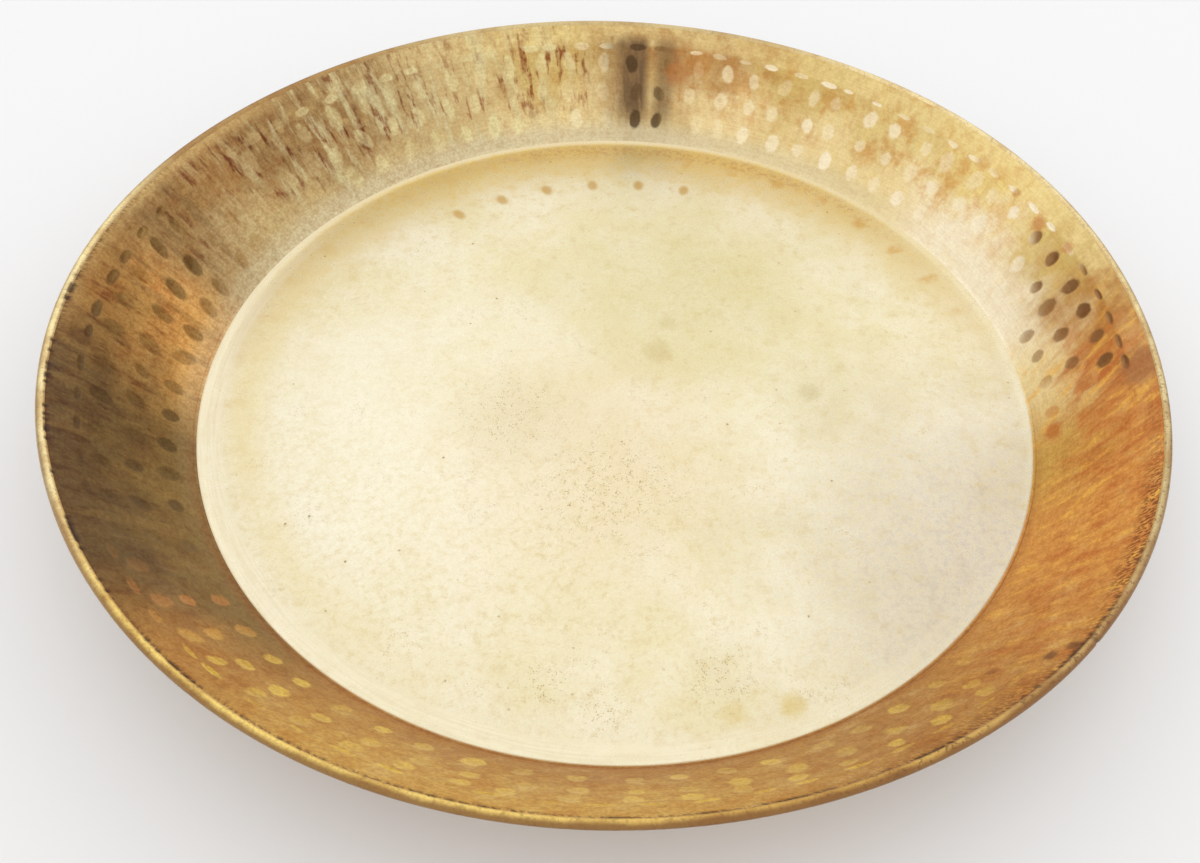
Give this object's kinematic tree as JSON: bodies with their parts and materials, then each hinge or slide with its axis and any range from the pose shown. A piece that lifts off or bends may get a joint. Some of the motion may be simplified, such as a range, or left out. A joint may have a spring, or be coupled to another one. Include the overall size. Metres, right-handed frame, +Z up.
{
  "type": "platter",
  "caption": "Round brass platter: flat floor, steep sloping wall with rows of oval hammer marks, and an outward rim rolled over a hidden hoop of wire.",
  "frame": {"origin": "centre of the flat underside", "axes": "+Z up out of the dish along the axis of the round; -Y is the side nearest the viewer in the picture and +X its right"},
  "size_m": [0.3999, 0.3998, 0.048],
  "materials": {
    "brass": "old hand-worked brass, satin floor, golden brown wall, polished rim",
    "iron": "dull iron wire"
  },
  "bodies": {
    "root": {"pan": "brass", "rim_wire": "iron"}
  },
  "joints": []
}
